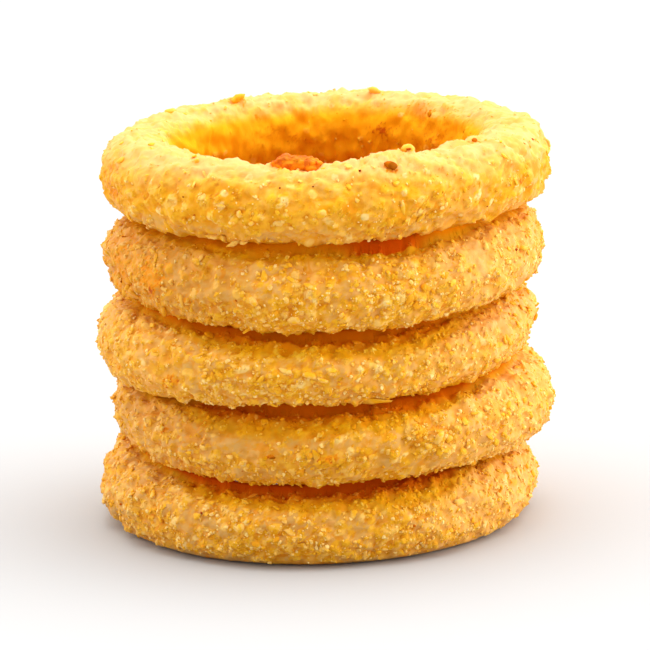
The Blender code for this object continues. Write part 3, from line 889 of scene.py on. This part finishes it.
def crumb_material(name, stops, roughness=0.40, floury=True, shine=0.16):
    """Crumbs of one kind: their shade runs from one stop to the next."""
    n = Nodes(name)
    tone = n.maths("ADD", n.value("tone"), n.ramp(n.noise(600.0, 2.0), 0.35, 0.65, -0.25, 0.35), True)
    colour = n.mix(n.ramp(tone, 0.05, 0.55), stops[0], stops[1])
    colour = n.mix(n.ramp(tone, 0.55, 1.00), colour, stops[2])
    colour = n.mix(n.ramp(n.noise(2600.0, 2.0), 0.50, 0.68, 0.0, 0.45), colour, stops[0])
    # painted highlight: crumbs paler on the top crown and the brighter sides
    if floury:
        colour = n.mix(n.maths("MULTIPLY", n.value("bloom"), 0.55), colour, n.mix(n.value("tone"), YELLOW, PALE))
    # painted shade on the lower rings away from the bright right side, and ring_4's browned left front
    colour = n.mix(n.value("fried"), colour, n.mix(1.0, colour, (0.86, 0.79, 0.68), "MULTIPLY"))
    colour = n.mix(n.maths("MULTIPLY", n.value("well"), 0.7), colour, GOLD)
    # painted shade where rings meet and in the hole
    colour = deepened(n, colour, 0.85)
    n.link(colour, n.surface.inputs["Base Color"])
    finish_surface(n, roughness, 0.08, 0.0003, (1.0, 0.8, 0.6), shine)
    n.link(n.bump(n.noise(2600.0, 3.0, 0.6), 0.6, 0.00012), n.surface.inputs["Normal"])
    return n.material


# ---- making the portion ---------------------------------------------------------------
rings = [Ring(index) for index in range(len(RINGS))]
crust = crust_material()
for ring in rings:
    raise_crust(ring)
    piece = ring_object(ring, crust)
    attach(piece, "root")
    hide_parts(ring.name)

dice = np.random.default_rng(77)


def with_chunks(ring, fallen, kind):
    """The scattered crumbs of a ring, with the single chunks of that kind added."""
    own = [c for c in CHUNKS.get(kind, []) if c[0] == ring.name]
    if not own:
        return fallen
    numbers = np.array([c[1:] for c in own])
    i = np.round(numbers[:, 0] / 360.0 * AROUND).astype(int) % AROUND
    j = np.array([int(np.argmin(np.abs(wrapped(ring.deg_turn - t)))) for t in numbers[:, 1]])
    columns = [i, j, *numbers[:, 2:6].T, np.radians(numbers[:, 6]), numbers[:, 7]]
    return tuple(np.concatenate([a, b]) for a, b in zip(fallen, columns))


def picks_for(count_side, count_top, weigh, shape_of, kind=None):
    chosen = []
    for ring in rings:
        count = count_top if ring.top else count_side
        around, place, i, j = ring.scatter(count, weigh(ring))
        chosen.append(with_chunks(ring, (i, j) + shape_of(count), kind))
    return chosen


def seen(ring):
    """Crumbs fall only where they show: not between rings nor under the stack."""
    degrees = np.abs(wrapped(ring.deg_turn))[None, :] * np.ones((AROUND, 1))
    side = 1.0 - 0.94 * smooth(degrees, 76.0, 92.0) if not ring.top else 1.0 - 0.5 * smooth(degrees, 120.0, 150.0)
    calm = 1.0 - 0.45 * smooth(-np.cos(ring.angle), 0.5, 0.9)[:, None]
    return side * calm * smooth(ring.near, 0.3, 1.0) * (1.0 - 0.9 * ring.bare)


def shaped(count, least, spread, skew, long, wide, tall, sink):
    size = least + spread * dice.random(count) ** skew
    return (size * dice.uniform(*long, count), size * dice.uniform(*wide, count), size * dice.uniform(*tall, count),
            dice.uniform(*sink, count), dice.uniform(0, TAU, count), dice.random(count) ** 1.3)


grit, grit_tris = crumb_shapes(dice, 0, 32, 0.22)
tiny, tiny_tris = crumb_shapes(dice, 1, 24, 0.07)
coarse, coarse_tris = crumb_shapes(dice, 2, 24, 0.10)

sandy = crumb_material("crumb_sand", [GOLD, YELLOW, CREAM])
pale = crumb_material("crumb_pale", [YELLOW, PALE, CREAM])
gold = crumb_material("crumb_gold", [HONEY, YELLOW, PALE])
flake = crumb_material("crumb_flake", [HONEY, YELLOW, PALE])
toast = crumb_material("crumb_toasted", [DARK, RUST, AMBER], 0.6, False, 0.03)


def toasted_lump():
    """A lump of batter on the well's near edge, fried orange, its ridge browned."""
    ring = rings[TOP]
    i = int(round(260.5 / 360.0 * AROUND))
    j = int(np.argmin(np.abs(wrapped(ring.deg_turn - 104.0))))
    co, tris = ico(5)
    base = np.sign(co) * np.abs(co) ** 0.75 * (4.6, 1.5, 1.6)
    push = []
    for x, y, z in base:
        spot = Vector((x, y, z))
        near = noise.voronoi(spot * 1.15 + Vector((3.0, 1.0, 7.0)))[0][0]
        push.append(0.55 * noise.noise(spot * 0.45 + Vector((2.0, 5.0, 1.0))) + 0.30 * noise.noise(spot * 1.1)
                    + 0.34 * (math.sqrt(max(0.0, 1.0 - (near / 0.62) ** 2)) - 0.45))
    rough = np.array(push)
    out = co / np.linalg.norm(co, axis=1, keepdims=True)
    local = (base + out * rough[:, None]) * MM
    angle = ring.angle[i]
    along = np.array([-math.sin(angle), math.cos(angle), 0.0])
    inward = np.array([-math.cos(angle), -math.sin(angle), 0.0])
    middle = ring.co[i, j] + np.array([0.0, 0.0, 1.2 * MM])
    world = middle + local[:, :1] * along + local[:, 1:2] * inward + local[:, 2:] * np.array([0.0, 0.0, 1.0])
    ridge = smooth(co[:, 2] + rough * 0.9, 0.35, 0.95)
    uv = (co[:, :2] * 0.48 + 0.5)[tris.ravel()]
    obj = build_mesh("toasted_lump", world, tris, uv, dict(ridge=ridge))
    n = Nodes("toasted_batter")
    patch = n.noise(420.0, 3.0, 0.6)
    grain = n.noise(1500.0, 3.0, 0.6)
    colour = n.mix(n.ramp(patch, 0.42, 0.56), (0.66, 0.125, 0.002), (0.90, 0.30, 0.006))
    brown = n.maths("MULTIPLY", n.value("ridge"), n.ramp(grain, 0.35, 0.60, 0.45, 1.0))
    colour = n.mix(brown, colour, (0.56, 0.12, 0.006))
    n.link(colour, n.surface.inputs["Base Color"])
    n.surface.inputs["Roughness"].default_value = 0.5
    n.surface.inputs["Specular IOR Level"].default_value = 0.1
    n.link(n.bump(grain, 0.8, 0.0003), n.surface.inputs["Normal"])
    obj.data.materials.append(n.material)
    return obj


pieces = [
    toasted_lump(),
    joined_crumbs("crumbs_sand", picks_for(
        2700, 900, lambda r: seen(r) * (0.03 + r.crumbly ** 1.6),
        lambda k: shaped(k, 0.11, 0.13, 1.6, (1.0, 1.4), (0.8, 1.1), (0.7, 1.1), (0.55, 0.85))),
        grit, grit_tris, dice, sandy),
    joined_crumbs("crumbs_fine", picks_for(
        2000, 650, lambda r: seen(r) * (0.02 + r.crumbly ** 1.6),
        lambda k: shaped(k, 0.18, 0.26, 1.7, (1.0, 1.3), (0.85, 1.1), (0.55, 0.80), (0.60, 0.90))),
        tiny, tiny_tris, dice, pale),
    joined_crumbs("crumbs_coarse", picks_for(
        330, 130, lambda r: seen(r) * (0.01 + r.crumbly ** 2),
        lambda k: shaped(k, 0.34, 0.42, 2.2, (1.0, 1.6), (0.75, 1.1), (0.42, 0.66), (0.60, 0.95)), "gold"),
        coarse, coarse_tris, dice, gold),
    joined_crumbs("flakes", picks_for(
        26, 26, lambda r: seen(r) * (0.08 + r.crumbly),
        lambda k: shaped(k, 0.50, 0.60, 2.4, (1.0, 1.2), (0.40, 0.60), (0.20, 0.34), (0.5, 0.8)), "pale"),
        coarse, coarse_tris, dice, flake, 0.05),
    joined_crumbs("toasted_bits", picks_for(
        26, 34, lambda r: seen(r) * (0.4 + 5.0 * r.toasted),
        lambda k: shaped(k, 0.12, 0.24, 2.5, (1.0, 1.5), (0.8, 1.0), (0.6, 0.8), (0.4, 0.9)), "toasted"),
        coarse, coarse_tris, dice, toast),
]
for piece in pieces:
    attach(piece, "root")


# ---- stage, light and camera -------------------------------------------------------------
def make_stage():
    bpy.ops.mesh.primitive_circle_add(vertices=96, radius=12.0, fill_type="NGON", location=(0, 0, -0.0001))
    floor = bpy.context.active_object
    floor.name = "floor"
    n = Nodes("floor_white")
    n.surface.inputs["Base Color"].default_value = (0.49, 0.49, 0.49, 1.0)
    n.surface.inputs["Roughness"].default_value = 0.8
    n.surface.inputs["Specular IOR Level"].default_value = 0.1
    floor.data.materials.append(n.material)


def make_studio():
    """A white tent: brightest overhead, with soft panels behind and to each side."""
    world = bpy.data.worlds.new("studio")
    world.use_nodes = True
    bpy.context.scene.world = world
    tree = world.node_tree
    back = tree.nodes["Background"]
    back.inputs["Color"].default_value = (1.0, 1.0, 1.0, 1.0)
    way = tree.nodes.new("ShaderNodeTexCoord").outputs["Generated"]
    split = tree.nodes.new("ShaderNodeSeparateXYZ")
    tree.links.new(way, split.inputs[0])

    def maths(operation, a, b):
        node = tree.nodes.new("ShaderNodeMath")
        node.operation = operation
        for socket, item in zip(node.inputs, (a, b)):
            if isinstance(item, (int, float)):
                socket.default_value = item
            else:
                tree.links.new(item, socket)
        return node.outputs[0]

    def lobe(way, power, strength):
        aim = Vector(way).normalized()
        facing = maths("ADD", maths("ADD", maths("MULTIPLY", split.outputs[0], aim.x),
                                    maths("MULTIPLY", split.outputs[1], aim.y)),
                       maths("MULTIPLY", split.outputs[2], aim.z))
        return maths("MULTIPLY", maths("POWER", maths("MAXIMUM", facing, 0.0), power), strength)

    total = SKY_ALL
    for way, power, strength in PANELS:
        total = maths("ADD", lobe(way, power, strength), total)
    tree.links.new(total, back.inputs["Strength"])


SKY_ALL = 0.16
PANELS = [                       # direction, how narrow, how strong
    ((0.05, 0.10, 1.0), 8.0, 5.7),   # overhead
    ((0.0, 1.0, 0.1), 2.0, 1.0),     # behind
    ((1.0, 0.0, 0.1), 3.0, 4.3),     # right, the brighter side
    ((-1.0, 0.0, 0.1), 3.0, 2.6),    # left
]

make_stage()
make_studio()

ELEVATION = math.radians(13.84)
DISTANCE = 1.0433
TARGET = Vector((0.0, 0.0, 0.03674))
LOWER = 0.00053
ROLL = math.radians(-1.13)
FOCAL_PX = 5529.5

forward = Vector((0.0, math.cos(ELEVATION), -math.sin(ELEVATION)))
upward = Vector((0.0, math.sin(ELEVATION), math.cos(ELEVATION)))
lens = bpy.data.cameras.new("camera")
lens.sensor_fit = "HORIZONTAL"
lens.sensor_width = 36.0
lens.lens = FOCAL_PX / 650.0 * 36.0
lens.clip_start = 0.05
lens.clip_end = 100.0
camera = bpy.data.objects.new("camera", lens)
bpy.context.scene.collection.objects.link(camera)
aim = TARGET - upward * LOWER
turn = forward.to_track_quat("-Z", "Y").to_matrix().to_4x4() @ Matrix.Rotation(ROLL, 4, "Z")
camera.matrix_world = Matrix.Translation(aim - forward * DISTANCE) @ turn
bpy.context.scene.camera = camera
bpy.context.scene.view_settings.view_transform = "Standard"
bpy.context.scene.view_settings.look = "None"
